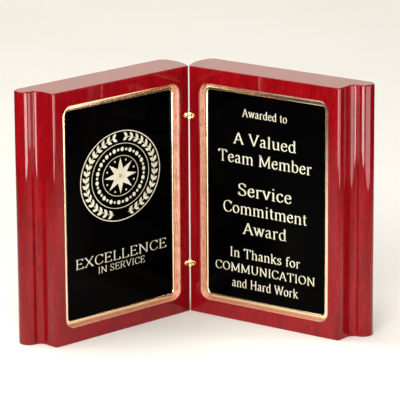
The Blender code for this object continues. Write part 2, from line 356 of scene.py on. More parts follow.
def mix(tree, factor, first, second, blend="MIX"):
    made = node(tree, "ShaderNodeMix", data_type="RGBA", blend_type=blend)
    for socket, value in ((made.inputs[0], factor), (made.inputs[6], first), (made.inputs[7], second)):
        if isinstance(value, bpy.types.NodeSocket):
            tree.links.new(value, socket)
        elif isinstance(value, tuple):
            socket.default_value = (*value, 1.0)
        else:
            socket.default_value = value
    return made.outputs[2]


def edge_wear(tree, low=0.52, high=0.60):
    geometry = node(tree, "ShaderNodeNewGeometry")
    return spread(tree, geometry.outputs["Pointiness"], 0.0, 1.0, low, high)


def bump(tree, height, strength, distance):
    return node(tree, "ShaderNodeBump", {
        "Height": height, "Strength": strength, "Distance": distance}).outputs["Normal"]


def lacquered_wood(name, offset):
    """Deep red stain over upright grain, under a thick clear polish."""
    material, tree, shader = material_tree(name)
    grain = noise(tree, (1.0, 1.0, 0.12), 900.0 + offset, 6.0, 0.62, 0.3)
    figure = noise(tree, (1.0, 1.0, 0.16), 90.0 + offset, 3.0, 0.5, 0.6)
    cloud = noise(tree, (1.0, 1.0, 0.6), 16.0 + offset, 2.0)
    fine = ramp(tree, grain, [(0.30, (0.17, 0.001, 0.003)), (0.52, (0.26, 0.003, 0.006)),
                              (0.72, (0.34, 0.006, 0.009))])
    broad = ramp(tree, figure, [(0.32, (0.72, 0.60, 0.66)), (0.66, (1.0, 1.0, 1.0))])
    shade = ramp(tree, cloud, [(0.30, (0.88, 0.82, 0.86)), (0.70, (1.0, 1.0, 1.0))])
    colour = mix(tree, 1.0, fine, broad, "MULTIPLY")
    colour = mix(tree, 1.0, colour, shade, "MULTIPLY")
    worn = mix(tree, edge_wear(tree), colour, (0.42, 0.012, 0.012))
    tree.links.new(worn, shader.inputs["Base Color"])
    tree.links.new(spread(tree, grain, 0.42, 0.30), shader.inputs["Roughness"])
    shader.inputs["Specular IOR Level"].default_value = 0.0
    shader.inputs["Coat Weight"].default_value = 1.0
    shader.inputs["Coat IOR"].default_value = 1.38
    haze = noise(tree, (1.0, 1.0, 1.0), 35.0 + offset, 3.0)
    tree.links.new(spread(tree, haze, 0.02, 0.06), shader.inputs["Coat Roughness"])
    peel = noise(tree, (1.0, 1.0, 0.5), 260.0, 2.0)
    tree.links.new(bump(tree, peel, 0.05, 0.0002), shader.inputs["Coat Normal"])
    tree.links.new(bump(tree, grain, 0.10, 0.0002), shader.inputs["Normal"])
    return material


def pocket_wall(name):
    """The cut wall of the recess, where the polish is thin and satin over paler wood."""
    material, tree, shader = material_tree(name)
    grain = noise(tree, (1.0, 1.0, 0.25), 700.0, 4.0, 0.6)
    tone = ramp(tree, grain, [(0.30, (0.42, 0.17, 0.13)), (0.70, (0.72, 0.40, 0.33))])
    tree.links.new(tone, shader.inputs["Base Color"])
    tree.links.new(spread(tree, grain, 0.22, 0.38), shader.inputs["Roughness"])
    shader.inputs["Coat Weight"].default_value = 0.6
    shader.inputs["Coat Roughness"].default_value = 0.12
    tree.links.new(bump(tree, grain, 0.25, 0.0003), shader.inputs["Normal"])
    return material


def polished_gold(name, pale, deep, low, high, scale):
    material, tree, shader = material_tree(name)
    cloud = noise(tree, (1.0, 1.0, 1.0), scale, 3.0)
    brushed = noise(tree, (1.0, 1.0, 0.2), scale * 12, 4.0)
    tone = ramp(tree, cloud, [(0.32, deep), (0.68, pale)])
    worn = mix(tree, edge_wear(tree, 0.53, 0.62), tone, (1.0, 0.82, 0.55))
    tree.links.new(worn, shader.inputs["Base Color"])
    tree.links.new(spread(tree, brushed, low, high), shader.inputs["Roughness"])
    shader.inputs["Metallic"].default_value = 1.0
    tree.links.new(bump(tree, brushed, 0.012, 0.0001), shader.inputs["Normal"])
    return material


def black_plate(name):
    """Black lacquered metal: very dark, smooth, with a faint haze of handling."""
    material, tree, shader = material_tree(name)
    haze = noise(tree, (1.0, 1.0, 1.0), 24.0, 3.0)
    brushed = noise(tree, (1.0, 1.0, 0.03), 900.0, 3.0)
    tone = ramp(tree, haze, [(0.30, (0.0002, 0.0002, 0.0003)), (0.70, (0.0009, 0.0007, 0.0007))])
    worn = mix(tree, edge_wear(tree, 0.55, 0.65), tone, (0.006, 0.004, 0.003))
    tree.links.new(worn, shader.inputs["Base Color"])
    tree.links.new(spread(tree, brushed, 0.10, 0.17), shader.inputs["Roughness"])
    shader.inputs["Specular IOR Level"].default_value = 0.02
    tree.links.new(bump(tree, brushed, 0.02, 0.0001), shader.inputs["Normal"])
    return material


def engraved_metal(name):
    """The pale bare metal that the engraving shows."""
    material, tree, shader = material_tree(name)
    scratch = noise(tree, (1.0, 1.0, 0.3), 1500.0, 3.0)
    cloud = noise(tree, (1.0, 1.0, 1.0), 60.0, 2.0)
    tone = ramp(tree, cloud, [(0.30, (0.66, 0.63, 0.47)), (0.70, (0.83, 0.80, 0.64))])
    tree.links.new(mix(tree, spread(tree, scratch, 0.0, 0.35), tone, (0.50, 0.46, 0.33)),
                   shader.inputs["Base Color"])
    tree.links.new(spread(tree, scratch, 0.42, 0.60), shader.inputs["Roughness"])
    shader.inputs["Metallic"].default_value = 0.15
    return material


def foam_tape(name):
    """Closed-cell mounting tape: off-white foam with fine open pores."""
    material, tree, shader = material_tree(name)
    coordinates = node(tree, "ShaderNodeTexCoord")
    cells = node(tree, "ShaderNodeTexVoronoi", {"Vector": coordinates.outputs["Object"], "Scale": 2600.0})
    cloud = noise(tree, (1.0, 1.0, 1.0), 40.0, 3.0)
    tone = ramp(tree, cloud, [(0.30, (0.66, 0.64, 0.56)), (0.70, (0.82, 0.81, 0.75))])
    pores = spread(tree, cells.outputs["Distance"], 0.0, 1.0, 0.1, 0.5)
    tree.links.new(mix(tree, pores, (0.52, 0.50, 0.43), tone), shader.inputs["Base Color"])
    tree.links.new(spread(tree, cloud, 0.70, 0.88), shader.inputs["Roughness"])
    tree.links.new(bump(tree, cells.outputs["Distance"], 0.4, 0.0001), shader.inputs["Normal"])
    return material


# ---------------------------------------------------------------- panels, frames and plates

def panel_rings(side):
    """The panel's outline at each level, drawn in at the rounded top and bottom edges."""
    rounding = quarter_rounding(RIM_RADIUS, range(0, 91, 10))
    levels = rounding + [(inset, PANEL_HEIGHT - rise) for inset, rise in reversed(rounding)]
    return [[(side * x, y, z) for x, y in panel_outline(inset)] for inset, z in levels]


def lay_along_shank(mesh, side):
    """Turn a mesh made along Z so that it runs into the wood at 45 degrees from the axis."""
    onto_x = Matrix.Rotation(math.radians(90), 4, "Y")
    into_corner = Matrix.Rotation(math.radians(45 if side > 0 else 135), 4, "Z")
    mesh.transform(into_corner @ onto_x)


def hinge_recess(side, height):
    """The cuts that let one hinge half into the panel."""
    wide = COLLAR_RADIUS + CLEARANCE
    narrow = SHANK_RADIUS + BARB_HEIGHT + CLEARANCE
    profile = [(0, 0), (wide, 0), (wide, COLLAR_END + CLEARANCE), (narrow, COLLAR_END + CLEARANCE),
               (narrow, SHANK_END + CLEARANCE), (0, SHANK_END + CLEARANCE)]
    bore = turned_mesh("bore", profile, KNUCKLE_STEPS)
    lay_along_shank(bore, side)
    wide = KNUCKLE_RADIUS + CLEARANCE + SCOOP_ROOM
    half = KNUCKLE_HEIGHT / 2 + 2 * CLEARANCE
    scoop = turned_mesh("scoop", [(0, -half), (wide, -half), (wide, half), (0, half)], KNUCKLE_STEPS)
    for mesh in (bore, scoop):
        mesh.transform(Matrix.Translation((0, 0, height * MM)))
    return [("DIFFERENCE", bore), ("DIFFERENCE", scoop)]


def hinge_heights():
    return {"lower": HINGE_INSET, "upper": PANEL_HEIGHT - HINGE_INSET}


def build_panel(word, side, materials):
    lip = [(POCKET_LIP_RADIUS * (math.cos(math.radians(a)) - 1),
            POCKET_LIP_RADIUS * (1 - math.sin(math.radians(a)))) for a in range(90, -1, -15)]
    sections = [(lip[0][0], -CUTTER_RISE)] + lip + [(0.0, POCKET_DEPTH)]
    tools = [("DIFFERENCE", loft_rings("pocket", pocket_rings(side, sections), True))]
    for height in hinge_heights().values():
        tools += hinge_recess(side, height)
    mesh = combine(f"{word}_panel_lacquer", loft_rings("panel", panel_rings(side), True), tools)
    marks = pocket_wall_marks(mesh)
    place(mesh, side)
    finish_piece(f"{word}_panel_lacquer", mesh, word, materials, [f"{word}_panel"])
    mesh.polygons.foreach_set("material_index", marks)


def pocket_wall_marks(mesh):
    """For each face, 1 on the cut walls and floor of the recess and 0 elsewhere."""
    marks = []
    low_x = POCKET_SPINE_EDGE + AXIS_OFFSET - MARK_MARGIN
    high_x = low_x + POCKET_WIDTH + 2 * MARK_MARGIN
    low_z = (PANEL_HEIGHT - POCKET_HEIGHT) / 2 - MARK_MARGIN
    low_y = POCKET_LIP_RADIUS * 0.9
    high_y = POCKET_DEPTH + MARK_MARGIN
    for face in mesh.polygons:
        centre = face.center / MM
        beside = low_x <= abs(centre.x) <= high_x
        level = low_z <= centre.z <= PANEL_HEIGHT - low_z
        deep = low_y < centre.y - AXIS_OFFSET < high_y
        marks.append(1 if beside and level and deep else 0)
    return marks


def build_frame(word, side, material):
    """A moulded ring whose crown slopes away from the plate, rebated over the plate's edge."""
    outer = CLEARANCE
    height = FRAME_EDGE_DEPTH - FRAME_CREST_DEPTH
    crown = []
    for angle in range(0, 181, 5):
        reach = math.cos(math.radians(angle))
        rise = abs(math.sin(math.radians(angle))) ** FRAME_SQUARENESS
        across = 0.5 - 0.5 * math.copysign(abs(reach) ** FRAME_SQUARENESS, reach)
        crest = height - FRAME_SLOPE * (1 - across)
        crown.append((outer + FRAME_WIDTH * across, FRAME_EDGE_DEPTH - crest * rise))
    lip_foot = PLATE_TOP - CLEARANCE
    rebate = PLATE_INSET - CLEARANCE
    foot = POCKET_DEPTH - CLEARANCE
    section = crown + [(outer + FRAME_WIDTH, lip_foot), (rebate, lip_foot), (rebate, foot), (outer, foot)]
    mesh = loft_rings(f"{word}_gold_frame", pocket_rings(side, section), False)
    place(mesh, side)
    finish_piece(f"{word}_gold_frame", mesh, word, [material], [f"{word}_frame"])


def build_plate(word, side, material):
    edge = quarter_rounding(PLATE_EDGE_ROUNDING, (0, 30, 60, 90))
    sections = [(PLATE_INSET + inset, PLATE_TOP + depth) for inset, depth in edge]
    sections += [(PLATE_INSET, PLATE_TOP + PLATE_THICKNESS)]
    mesh = loft_rings(f"{word}_black_plate", pocket_rings(side, sections), True)
    place(mesh, side)
    finish_piece(f"{word}_black_plate", mesh, word, [material], [f"{word}_plate"])


# ---------------------------------------------------------------- engraving

CAP_HEIGHT = 7.0
NIB_LONG = 0.47              # half the nib's long and short sides
NIB_SHORT = 0.17
NIB_ANGLE = 18.0
SERIF_HALF = 0.85
LETTER_SPACING = 0.35

# Each letter is its advance and its strokes on a grid with capitals seven high. A stroke that starts
# with ~ is a curve through its points, @ is an oval from its centre and radii, _ is a serif about a
# point, and the rest are straight runs.
LETTERS = {
    "A": (6.6, "0.7,0 3.3,7|3.3,7 5.9,0|1.7,2.4 4.9,2.4|_0.7,0|_5.9,0"),
    "C": (6.2, "~5.6,5.4 4.9,6.5 3.5,7 1.6,6.2 0.7,3.5 1.6,0.8 3.5,0 5.0,0.5 5.8,1.7|5.6,6.9 5.6,5.2"),
    "E": (5.7, "1.3,0 1.3,7|0.5,7 4.9,7|0.5,0 5.2,0|1.3,3.6 4.0,3.6"
               "|4.9,7 4.9,5.8|5.2,0 5.2,1.3|4.0,4.2 4.0,3.0"),
    "H": (7.2, "1.4,0 1.4,7|5.8,0 5.8,7|1.4,3.6 5.8,3.6|_1.4,0|_1.4,7|_5.8,0|_5.8,7"),
    "I": (3.0, "1.5,0 1.5,7|_1.5,0|_1.5,7"),
    "L": (5.5, "1.3,0 1.3,7|0.5,0 5.0,0|5.0,0 5.0,1.5|_1.3,7"),
    "M": (8.6, "1.3,0 1.3,7|1.3,7 4.3,0.5|4.3,0.5 7.3,7|7.3,7 7.3,0"
               "|_1.3,0|_7.3,0|0.5,7 1.3,7|7.3,7 8.1,7"),
    "N": (7.4, "1.3,0 1.3,7|1.3,7 6.1,0|6.1,0 6.1,7|_1.3,0|_6.1,7|0.5,7 1.3,7"),
    "O": (7.0, "@3.5,3.5 2.8,3.45"),
    "R": (6.5, "1.3,0 1.3,7|~0.6,7 3.3,7 4.8,6.3 5.0,5.2 4.6,4.1 3.2,3.5 1.3,3.5"
               "|3.1,3.5 5.7,0|_1.3,0|5.5,0 6.5,0"),
    "S": (5.3, "~4.4,5.5 3.9,6.6 2.6,7 1.3,6.6 0.8,5.4 1.3,4.3"
               " 2.7,3.6 4.0,2.8 4.5,1.6 3.9,0.4 2.5,0 1.2,0.4 0.6,1.6"
               "|4.4,6.8 4.4,5.3|0.6,0.2 0.6,1.8"),
    "T": (6.2, "3.1,0 3.1,7|0.5,7 5.7,7|0.5,7 0.5,5.7|5.7,7 5.7,5.7|_3.1,0"),
    "U": (7.2, "~1.4,7 1.4,4.6 1.4,2.4 2.1,0.6 3.7,0 5.2,0.6 5.9,2.4 5.9,4.6 5.9,7|_1.4,7|_5.9,7"),
    "V": (6.6, "0.7,7 3.4,0|3.4,0 5.9,7|_0.7,7|_5.9,7"),
    "W": (9.4, "0.7,7 2.9,0|2.9,0 4.7,7|4.7,7 6.8,0|6.8,0 8.7,7|_0.7,7|_4.5,7|_8.7,7"),
    "X": (6.6, "0.9,7 5.7,0|5.7,7 0.9,0|_0.9,7|_5.7,7|_0.9,0|_5.7,0"),
    "a": (4.5, "~0.8,3.8 1.6,4.7 2.7,4.6 3.2,3.6 3.2,2.0 3.2,0.8 3.6,0.1 4.3,0.4"
               "|~3.2,2.9 1.6,2.4 0.7,1.2 1.3,0.1 2.4,0.3 3.2,1.2"),
    "b": (5.1, "1.1,7.2 1.1,0.2|~1.1,3.9 2.3,4.8 3.8,4.3 4.4,2.4 3.8,0.5 2.4,0 1.1,0.7|0.3,6.9 1.1,7.2"),
    "c": (4.3, "~3.7,3.7 3.2,4.6 2.3,4.8 1.1,4.1 0.6,2.4 1.1,0.7 2.3,0 3.2,0.3 3.9,1.2"),
    "d": (5.1, "4.0,7.2 4.0,0|4.0,0.05 4.9,0.15|~4.0,3.9 2.8,4.8 1.3,4.3 0.7,2.4 1.3,0.5 2.7,0 4.0,0.9"
               "|3.2,6.9 4.0,7.2"),
    "e": (4.4, "0.7,2.8 3.8,2.8|~3.8,2.8 3.4,4.3 2.3,4.8 1.1,4.1 0.6,2.4 1.1,0.7 2.4,0 3.3,0.3 4.0,1.2"),
    "f": (3.1, "~3.3,6.5 2.7,7.2 1.8,6.8 1.4,5.6 1.4,3.0 1.4,0|0.4,4.7 2.8,4.7|_1.4,0"),
    "h": (5.4, "1.2,7.2 1.2,0|~1.2,3.7 2.4,4.7 3.7,4.5 4.2,3.3 4.2,1.8 4.2,0"
               "|_1.2,0|_4.2,0|0.4,6.9 1.2,7.2"),
    "i": (2.6, "1.3,4.8 1.3,0|_1.3,0|0.5,4.5 1.3,4.8|1.3,6.3 1.3,6.9"),
    "k": (5.2, "1.2,7.2 1.2,0|1.2,1.9 4.0,4.7|2.2,2.9 4.4,0|_1.2,0|_4.4,0"
               "|3.1,4.75 4.9,4.75|0.4,6.9 1.2,7.2"),
    "l": (2.6, "1.3,7.2 1.3,0|_1.3,0|0.5,6.9 1.3,7.2"),
    "m": (8.2, "1.2,4.8 1.2,0|~1.2,3.7 2.4,4.7 3.6,4.5 4.1,3.3 4.1,1.8 4.1,0"
               "|~4.1,3.7 5.3,4.7 6.5,4.5 7.0,3.3 7.0,1.8 7.0,0"
               "|_1.2,0|_4.1,0|_7.0,0|0.4,4.5 1.2,4.8"),
    "n": (5.4, "1.2,4.8 1.2,0|~1.2,3.7 2.4,4.7 3.7,4.5 4.2,3.3 4.2,1.8 4.2,0"
               "|_1.2,0|_4.2,0|0.4,4.5 1.2,4.8"),
    "o": (4.9, "@2.45,2.4 1.85,2.4"),
    "r": (3.7, "1.2,4.8 1.2,0|~1.2,3.4 1.9,4.5 2.8,4.8 3.4,4.3|_1.2,0|0.4,4.5 1.2,4.8"),
    "s": (3.8, "~3.1,3.8 2.7,4.6 1.9,4.8 1.0,4.4 0.8,3.5 1.8,2.7 3.0,1.9 3.1,0.8 2.2,0 1.1,0.2 0.6,1.1"),
    "t": (3.1, "~1.4,6.2 1.4,4.4 1.4,2.2 1.6,0.5 2.2,0 2.9,0.4|0.4,4.7 2.7,4.7"),
    "u": (5.4, "~1.2,4.8 1.2,3.2 1.2,1.5 1.7,0.3 2.7,0.1 4.2,1.2"
               "|4.2,4.8 4.2,0|4.2,0.1 5.1,0.1|0.4,4.75 1.2,4.75|3.4,4.75 4.2,4.75"),
    "v": (4.9, "0.7,4.8 2.5,0|2.5,0 4.2,4.8|_0.7,4.8|_4.2,4.8"),
    "w": (7.1, "0.7,4.8 2.2,0|2.2,0 3.6,4.8|3.6,4.8 5.0,0|5.0,0 6.4,4.8|_0.7,4.8|_3.4,4.8|_6.4,4.8"),
    " ": (2.6, ""),
}

# Words, width of the line, height of its capitals, and height of its middle above the foot. Each
# plate's lines share a weight, which is the size of the nib against the one above.
RIGHT_WEIGHT = 1.0
LEFT_WEIGHT = 0.72
RIGHT_LINES = (
    ("Awarded to", 43.6, 6.2, 170.4),
    ("A Valued", 61.0, 9.0, 149.1),
    ("Team Member", 91.0, 9.0, 133.3),
    ("Service", 52.5, 9.6, 107.5),
    ("Commitment", 82.0, 9.0, 92.0),
    ("Award", 42.5, 9.0, 76.1),
    ("In Thanks for", 69.0, 7.4, 54.9),
    ("COMMUNICATION", 98.0, 6.7, 42.3),
    ("and Hard Work", 65.0, 7.0, 29.9),
)
LEFT_LINES = (
    ("EXCELLENCE", 99.0, 7.6, 60.9),
    ("IN SERVICE", 51.0, 5.2, 51.9),
)


def nib_reach(normal, weight):
    """Half the width of a stroke of the tilted nib, across the given direction."""
    tilt = math.radians(NIB_ANGLE)
    along = normal[0] * math.cos(tilt) + normal[1] * math.sin(tilt)
    across = -normal[0] * math.sin(tilt) + normal[1] * math.cos(tilt)
    return weight * math.hypot(NIB_LONG * along, NIB_SHORT * across)


def smooth_run(points, steps=6):
    """A curve through the points, each span cut into steps."""
    first = [2 * a - b for a, b in zip(points[0], points[1])]
    last = [2 * a - b for a, b in zip(points[-1], points[-2])]
    held = [first] + points + [last]
    run = []
    for p0, p1, p2, p3 in zip(held, held[1:], held[2:], held[3:]):
        for i in range(steps):
            t = i / steps
            run.append([0.5 * (2 * b + (c - a) * t + (2 * a - 5 * b + 4 * c - d) * t * t
                               + (3 * b - a - 3 * c + d) * t ** 3)
                        for a, b, c, d in zip(p0, p1, p2, p3)])
    run.append(points[-1])
    return run


def band(points, weight, closed=False):
    """The two edges of a nib stroke along the points."""
    left, right = [], []
    count = len(points)
    for i, point in enumerate(points):
        before = points[(i - 1) % count] if closed or i > 0 else point
        after = points[(i + 1) % count] if closed or i < count - 1 else point
        dx, dy = after[0] - before[0], after[1] - before[1]
        length = math.hypot(dx, dy)
        normal = (-dy / length, dx / length)
        reach = nib_reach(normal, weight)
        left.append((point[0] + normal[0] * reach, point[1] + normal[1] * reach))
        right.append((point[0] - normal[0] * reach, point[1] - normal[1] * reach))
    return left, right, closed


def letter_bands(strokes, weight):
    """The strokes of one letter, each as its two edges and whether it closes on itself."""
    made = []
    for stroke in filter(None, strokes.split("|")):
        numbers = [tuple(float(c) for c in pair.split(",")) for pair in stroke.lstrip("~@_").split()]
        if stroke[0] == "~":
            made.append(band(smooth_run([list(p) for p in numbers]), weight))
        elif stroke[0] == "@":
            made.append(band(ellipse(numbers[0], numbers[1], 15), weight, True))
        elif stroke[0] == "_":
            x, y = numbers[0]
            made.append(band([(x - SERIF_HALF, y), (x + SERIF_HALF, y)], weight))
        else:
            made.append(band(numbers, weight))
    return made


class Engraving:
    """Collects flat strokes on a plate as thin closed slabs."""

    def __init__(self, side):
        self.side = side
        self.bm = bmesh.new()
        self.top = AXIS_OFFSET + PLATE_TOP - ENGRAVING_RISE
        self.root = AXIS_OFFSET + PLATE_TOP + ENGRAVING_ROOT

    def point(self, x, z, y):
        """x runs in the reading direction from the middle of the engraving, z is up from the foot."""
        along = ENGRAVING_CENTRE + AXIS_OFFSET + self.side * x
        return self.bm.verts.new((self.side * along * MM, y * MM, z * MM))

    def slab(self, left, right, closed):
        """A slab between two edges of equal point count, joined end to end if closed."""
        rows = []
        for y in (self.top, self.root):
            for edge in (left, right):
                rows.append([self.point(x, z, y) for x, z in edge])
        top_left, top_right, root_left, root_right = rows
        count = len(left)
        for i in range(count if closed else count - 1):
            j = (i + 1) % count
            for quad in ((top_left[i], top_left[j], top_right[j], top_right[i]),
                         (root_left[i], root_left[j], root_right[j], root_right[i]),
                         (top_left[i], top_left[j], root_left[j], root_left[i]),
                         (top_right[i], top_right[j], root_right[j], root_right[i])):
                self.bm.faces.new(quad)
        if not closed:
            for i in (0, count - 1):
                self.bm.faces.new((top_left[i], top_right[i], root_right[i], root_left[i]))

    def shape(self, outline):
        """A slab over a filled outline."""
        tops = [self.point(x, z, self.top) for x, z in outline]
        roots = [self.point(x, z, self.root) for x, z in outline]
        self.bm.faces.new(tops)
        self.bm.faces.new(roots)
        for i in range(len(outline)):
            j = (i + 1) % len(outline)
            self.bm.faces.new((tops[i], tops[j], roots[j], roots[i]))

    def line(self, words, width, height, middle, weight):
        """A line of words of the given width and capital height, about the engraving's middle."""
        scale_z = height / CAP_HEIGHT
        total = sum(LETTERS[c][0] + LETTER_SPACING for c in words) - LETTER_SPACING
        scale_x = width / total
        cursor = -width / 2
        foot = middle - height / 2
        for character in words:
            advance, strokes = LETTERS[character]
            for left, right, closed in letter_bands(strokes, weight):
                edges = []
                for edge in (left, right):
                    edges.append([(cursor + x * scale_x, foot + z * scale_z) for x, z in edge])
                self.slab(edges[0], edges[1], closed)
            cursor += (advance + LETTER_SPACING) * scale_x

    def mesh(self, name):
        return mesh_from_bmesh(name, self.bm)


EMBLEM_MIDDLE = 124.6        # above the foot
EMBLEM_HALF_WIDTH = 43.0
EMBLEM_HALF_HEIGHT = 36.5
RING_LINES = ((1.0, 0.020), (0.72, 0.012), (0.45, 0.012))    # radius and width, as shares of that size
WREATH_RADIUS = 0.86
WREATH_STEM = 0.006          # half its thickness
LEAF_PAIRS = 17              # on each side of the wreath
LEAF_GAP = 9.6               # degrees from one pair to the next
LEAF_START = 14
LEAF_LEAN = 38
LEAF_LENGTH = 5.6
LEAF_HALF_WIDTH = 1.35
BEAD_RING = 0.585
BEAD_SIZES = (1.75, 1.15)    # large and small by turns
STAR_POINTS = 8
STAR_REACH = (0.40, 0.17)    # to its points and its notches
STAR_HEART = (0.07, 0.03)
SPARK_RING = 0.36            # small beads between the points of the star
SPARK_SIZE = 0.8


def oval(radius, angle):
    """A point on the emblem, from a share of its size and an angle in degrees."""
    turn = math.radians(angle)
    x = EMBLEM_HALF_WIDTH * radius * math.cos(turn)
    return (x, EMBLEM_MIDDLE + EMBLEM_HALF_HEIGHT * radius * math.sin(turn))


def ring_line(work, radius, width):
    outer = [oval(radius, a) for a in range(0, 360, 3)]
    inner = [oval(radius - width, a) for a in range(0, 360, 3)]
    work.slab(outer, inner, True)


def leaf(work, radius, angle, length, width, lean):
    """A pointed leaf that starts on the oval and leans away from it."""
    start = Vector(oval(radius, angle))
    ahead = (Vector(oval(radius, angle + 1)) - start).normalized()
    outward = Vector((ahead.y, -ahead.x))
    direction = ahead * math.cos(math.radians(lean)) + outward * math.sin(math.radians(lean))
    across = Vector((-direction.y, direction.x))
    profile = [(0.0, 0.0), (0.18, 0.62), (0.42, 1.0), (0.7, 0.72), (1.0, 0.0)]
    upper = [start + direction * (length * t) + across * (width * w) for t, w in profile]
    lower = [start + direction * (length * t) - across * (width * w) for t, w in profile[1:-1]]
    work.shape([tuple(p) for p in upper + lower[::-1]])


def star(work, points, reach, turn=90):
    """A star from the radius of its points and of its notches."""
    outline = []
    for i in range(2 * points):
        outline.append(oval(reach[i % 2], turn + i * 180 / points))
    work.shape(outline)


def bead(work, radius, angle, size):
    work.shape(ellipse(oval(radius, angle), (size, size), 30))


def draw_emblem(work):
    """An oval laurel wreath round a ring of beads and a star."""
    for radius, width in RING_LINES:
        ring_line(work, radius, width)
    for half in (1, -1):
        for i in range(LEAF_PAIRS):
            angle = -90 + half * (LEAF_START + i * LEAF_GAP)
            for lean in (LEAF_LEAN, -LEAF_LEAN):
                leaf(work, WREATH_RADIUS, angle, LEAF_LENGTH * half, LEAF_HALF_WIDTH, lean)
        turns = [-90 + half * a for a in range(12, 170, 4)]
        outer = [oval(WREATH_RADIUS + WREATH_STEM, turn) for turn in turns]
        inner = [oval(WREATH_RADIUS - WREATH_STEM, turn) for turn in turns]
        work.slab(outer, inner, False)
    for i in range(36):
        bead(work, BEAD_RING, i * 10 + 5, BEAD_SIZES[i % 2])
    star(work, STAR_POINTS, STAR_REACH)
    for i in range(STAR_POINTS):
        bead(work, SPARK_RING, 112.5 + i * 360 / STAR_POINTS, SPARK_SIZE)
    star(work, 5, STAR_HEART, -90)


def build_engraving(word, side, material):
    """All the lettering of one plate, and the emblem on the left one."""
    work = Engraving(side)
    lines, weight = (RIGHT_LINES, RIGHT_WEIGHT) if side > 0 else (LEFT_LINES, LEFT_WEIGHT)
    for words, width, height, middle in lines:
        work.line(words, width, height, middle, weight)
    if side < 0:
        draw_emblem(work)
    mesh = work.mesh(f"{word}_engraving")
    place(mesh, side)
    finish_piece(f"{word}_engraving", mesh, word, [material], weighted=False)


# ---------------------------------------------------------------- hinges

def knuckle_mesh():
    """One knuckle, bored for the pin, above the middle of the hinge."""
    low = CLEARANCE / 2
    high = KNUCKLE_HEIGHT / 2
    bore = PIN_RADIUS + PIN_CLEARANCE
    dome = arc((KNUCKLE_RADIUS - KNUCKLE_ROUNDING, high - KNUCKLE_ROUNDING), KNUCKLE_ROUNDING, 0, 90, 10)
    edge = arc((KNUCKLE_RADIUS - KNUCKLE_MID_ROUNDING, low + KNUCKLE_MID_ROUNDING),
               KNUCKLE_MID_ROUNDING, -90, 0, 6)
    profile = [(bore, low)] + edge + dome + [(bore, high), (bore, low)]
    return turned_mesh("knuckle", profile, KNUCKLE_STEPS)


def arm_mesh(side):
    """The flat arm from the knuckle to the collar."""
    low = CLEARANCE / 2
    high = COLLAR_FACE_RADIUS - ARM_EDGE
    half = ARM_WIDTH / 2
    ends = (KNUCKLE_RADIUS - ARM_INTO_KNUCKLE, COLLAR_START + ARM_INTO_COLLAR)
    section = ((low, -half), (high, -half), (high, half), (low, half))
    mesh = loft_rings("arm", [[(-x, y, z) for x, y in section] for z in ends], True)
    lay_along_shank(mesh, side)
    return mesh


def shank_mesh(side):
    """The coned collar and the barbed shank behind it."""
    cone_end = COLLAR_START + COLLAR_RADIUS - COLLAR_FACE_RADIUS
    profile = [(0, COLLAR_START), (COLLAR_FACE_RADIUS, COLLAR_START),
               (COLLAR_RADIUS, cone_end), (COLLAR_RADIUS, COLLAR_END), (SHANK_RADIUS, COLLAR_END)]
    pitch = (SHANK_END - SHANK_TIP - COLLAR_END) / BARB_COUNT
    for i in range(BARB_COUNT):
        foot = COLLAR_END + pitch * (i + BARB_CREST)
        profile += [(SHANK_RADIUS + BARB_HEIGHT, foot), (SHANK_RADIUS, foot + pitch * BARB_TAPER)]
    profile += [(SHANK_RADIUS - SHANK_TIP_NARROWING, SHANK_END), (0, SHANK_END)]
    mesh = turned_mesh("shank", profile, SHANK_STEPS)
    lay_along_shank(mesh, side)
    return mesh


def build_hinge_half(name, node_name, word, side, height, up, material):
    """One half of a hinge, with its knuckle above the hinge's middle if up, and below it if not."""
    knuckle = knuckle_mesh()
    arm = arm_mesh(side)
    if not up:
        for mesh in (knuckle, arm):
            mesh.transform(Matrix.Scale(-1, 4, (0, 0, 1)))
            mesh.flip_normals()
    mesh = combine(name, knuckle, [("UNION", arm), ("UNION", shank_mesh(side))])
    mesh.transform(Matrix.Translation((0, 0, height * MM)))
    place(mesh, side)
    finish_piece(name, mesh, word, [material], [node_name])


def build_pin(name, node_name, height, material):
    half = KNUCKLE_HEIGHT / 2
    ends = arc((PIN_RADIUS - PIN_ROUNDING, half - PIN_ROUNDING), PIN_ROUNDING, 0, 90, 6)
    profile = [(0, -half)] + [(r, -z) for r, z in reversed(ends)] + ends + [(0, half)]
    mesh = turned_mesh(name, profile, PIN_STEPS)
    mesh.transform(Matrix.Translation((0, 0, height * MM)))
    place(mesh, -1)
    finish_piece(name, mesh, "left", [material], [node_name])


# ---------------------------------------------------------------- build

gold = polished_gold("frame gold", (1.0, 0.83, 0.57), (0.96, 0.75, 0.47), 0.15, 0.23, 30.0)
brass = polished_gold("hinge brass", (1.0, 0.80, 0.46), (0.92, 0.66, 0.30), 0.10, 0.22, 200.0)
plate_black = black_plate("black plate")
engraved = engraved_metal("engraved metal")
tape_foam = foam_tape("foam tape")
wall = pocket_wall("pocket wall")

for word, side in SIDES.items():
    lacquer = lacquered_wood(f"{word} lacquer", 3.0 * side)
    build_panel(word, side, [lacquer, wall])
    build_frame(word, side, gold)
    build_plate(word, side, plate_black)
    build_engraving(word, side, engraved)
    tape = frame["nodes"][f"{word}_plate_tape"]
    tape.data.materials.clear()
    tape.data.materials.append(tape_foam)
    for place_word, height in hinge_heights().items():
        build_hinge_half(f"{place_word}_hinge_{word}_knuckle", f"{place_word}_hinge_{word}_half",
                         word, side, height, side < 0, brass)
for place_word, height in hinge_heights().items():
    build_pin(f"{place_word}_hinge_brass_pin", f"{place_word}_hinge_pin", height, brass)


# ---------------------------------------------------------------- floor, light and camera

